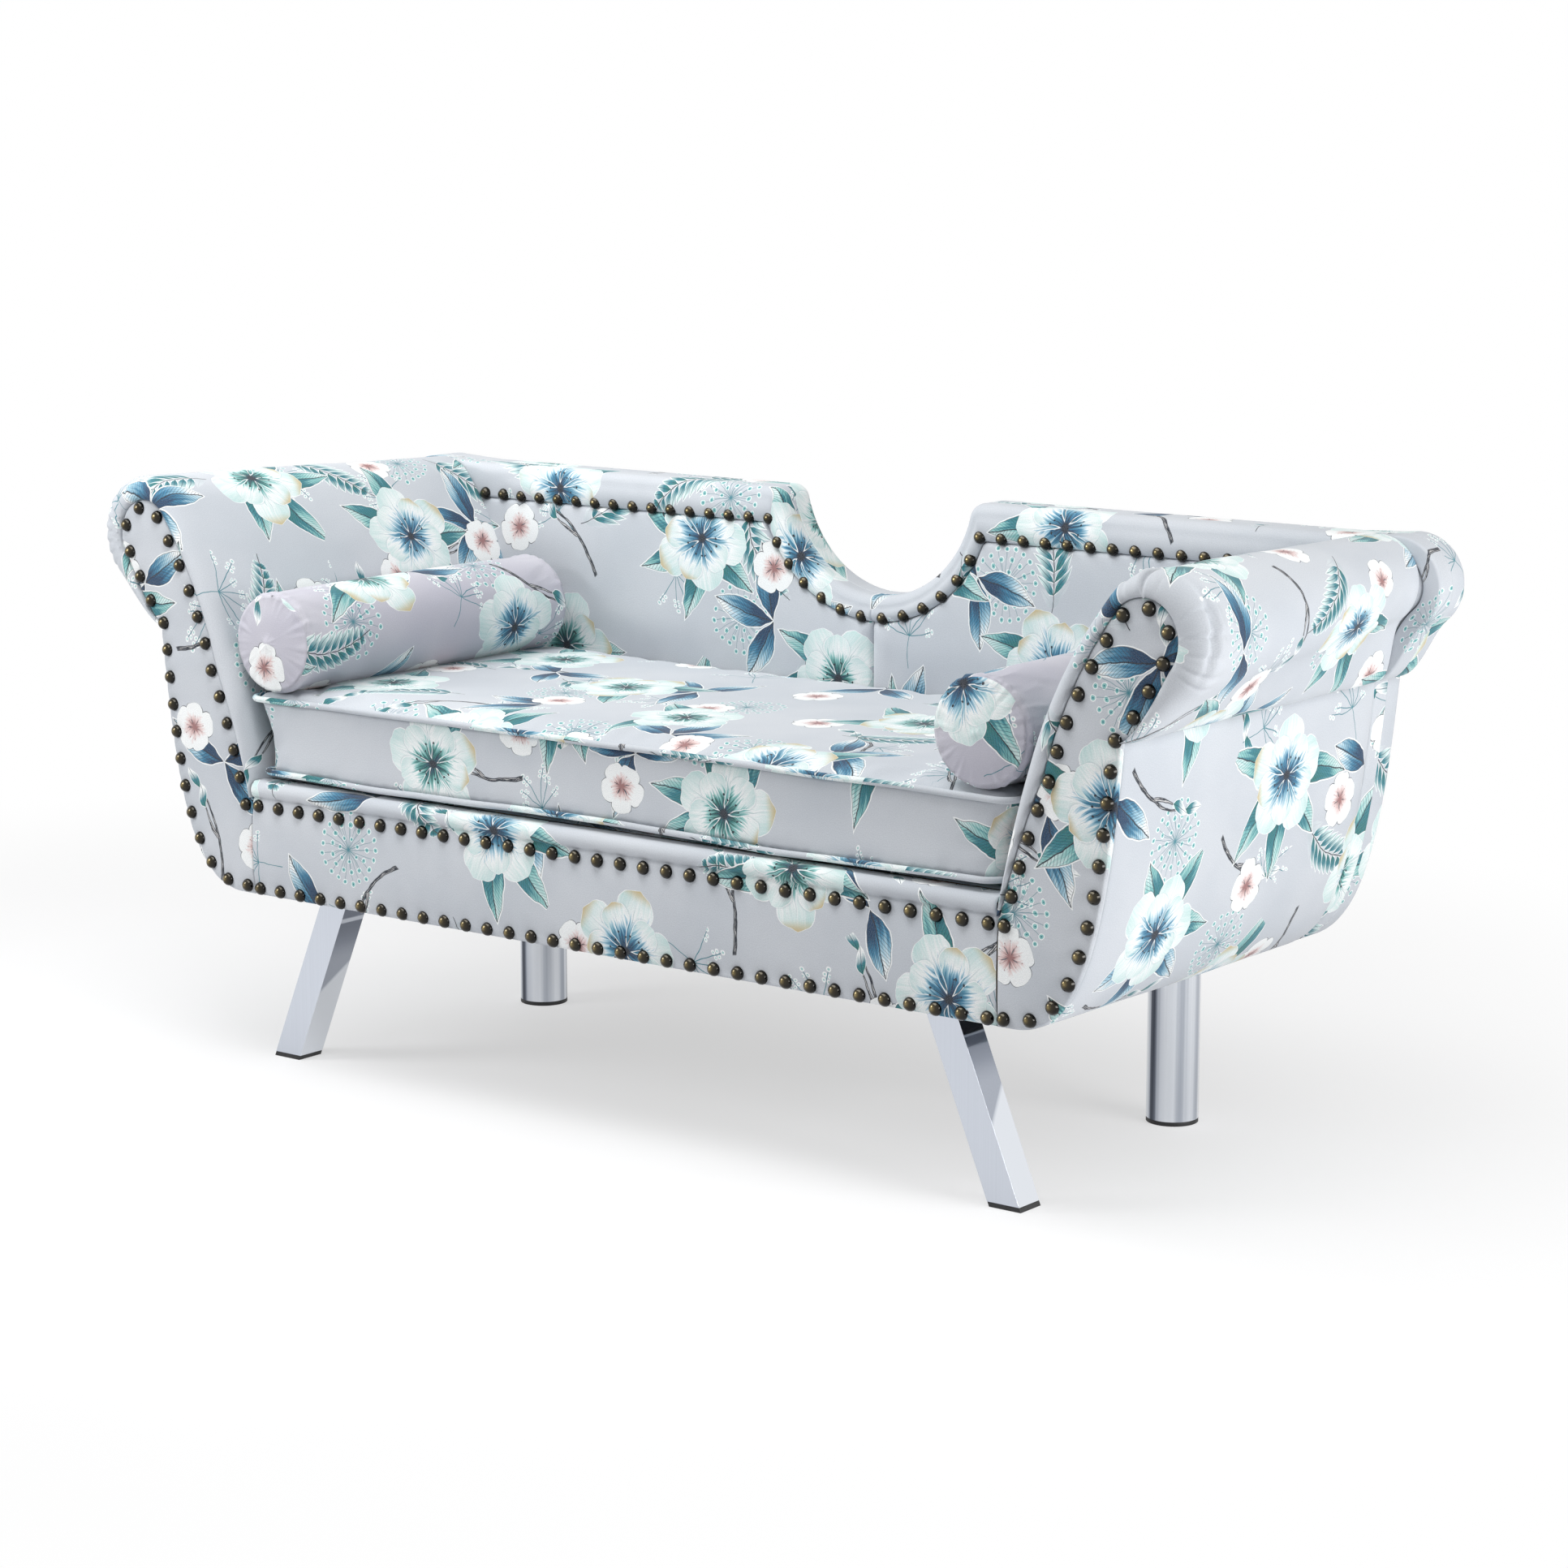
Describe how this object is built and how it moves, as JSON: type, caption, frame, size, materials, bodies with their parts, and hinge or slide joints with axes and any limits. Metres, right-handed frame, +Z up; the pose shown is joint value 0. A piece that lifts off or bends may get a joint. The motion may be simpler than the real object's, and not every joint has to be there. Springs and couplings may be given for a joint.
{
  "type": "upholstered loveseat",
  "caption": "Upholstered loveseat with tapered scroll arms, a notched back, nailhead trim, a loose piped box cushion, loose bolsters, splayed square front legs and round rear legs.",
  "frame": {"origin": "centre of the footprint on the floor, the middle of the bounding box's underside", "axes": "+X to the seat's left-hand arm as seen from the front on the viewer's right, +Y from the front to the back, +Z up"},
  "size_m": [1.584, 0.585, 0.6978],
  "materials": {
    "fabric_print": "soft matte velvet with a printed pattern",
    "fabric_bolster": "soft matte velvet with a printed pattern",
    "nail_bronze": "aged, satin",
    "leg_chrome": "polished",
    "cap_plastic": "matte",
    "timber": "sawn, unfinished",
    "foam": "soft open-cell",
    "zinc_steel": "zinc-plated",
    "dust_cloth": "thin non-woven",
    "zip_plastic": "matte"
  },
  "bodies": {
    "frame": {"arm_front_board_left": "timber", "arm_front_board_right": "timber", "arm_rear_board_left": "timber", "arm_rear_board_right": "timber", "arm_slats_left": "timber", "arm_slats_right": "timber", "arm_foam_left": "foam", "arm_foam_right": "foam", "arm_cover_left": "fabric_print", "arm_cover_right": "fabric_print", "arm_side_panel_left": "fabric_print", "arm_side_panel_right": "fabric_print", "arm_front_panel_left": "fabric_print", "arm_front_panel_right": "fabric_print", "arm_nails_left": "nail_bronze", "arm_nails_right": "nail_bronze", "back_board": "timber", "back_nail_frame": "timber", "back_foam": "foam", "back_cover_left": "fabric_print", "back_cover_right": "fabric_print", "back_border": "fabric_print", "back_rim_cover": "fabric_print", "back_outside_cover": "fabric_print", "back_posts": "timber", "back_top_battens": "timber", "back_bottom_rail": "timber", "back_nails": "nail_bronze", "front_rail": "timber", "rear_rail": "timber", "side_rail_left": "timber", "side_rail_right": "timber", "centre_stretcher": "timber", "leg_blocks": "timber", "seat_springs": "zinc_steel", "spring_clips": "zinc_steel", "deck_pad": "foam", "rail_foam": "foam", "rail_cover": "fabric_print", "rail_nails": "nail_bronze", "dust_cover": "dust_cloth", "arm_bolts": "zinc_steel", "arm_nuts": "zinc_steel", "leg_screws": "zinc_steel", "front_leg_left": "leg_chrome", "front_leg_right": "leg_chrome", "rear_leg_left": "leg_chrome", "rear_leg_right": "leg_chrome", "front_foot_caps": "cap_plastic", "rear_foot_caps": "cap_plastic"},
    "seat_cushion": {"cushion_core": "foam", "cushion_cover": "fabric_print", "cushion_piping_top": "fabric_print", "cushion_piping_bottom": "fabric_print", "cushion_zip": "zip_plastic"},
    "bolster_left": {"bolster_core_left": "foam", "bolster_cover_left": "fabric_bolster"},
    "bolster_right": {"bolster_core_right": "foam", "bolster_cover_right": "fabric_bolster"}
  },
  "joints": [
    {"name": "cushion_lift", "type": "slide", "parent": "frame", "child": "seat_cushion", "axis": [0, -0.342, 0.9397], "range_m": [0, 0.4]},
    {"name": "bolster_left_lift", "type": "slide", "parent": "seat_cushion", "child": "bolster_left", "axis": [0, 0, 1], "range_m": [0, 0.26]},
    {"name": "bolster_right_lift", "type": "slide", "parent": "seat_cushion", "child": "bolster_right", "axis": [0, 0, 1], "range_m": [0, 0.26]}
  ]
}
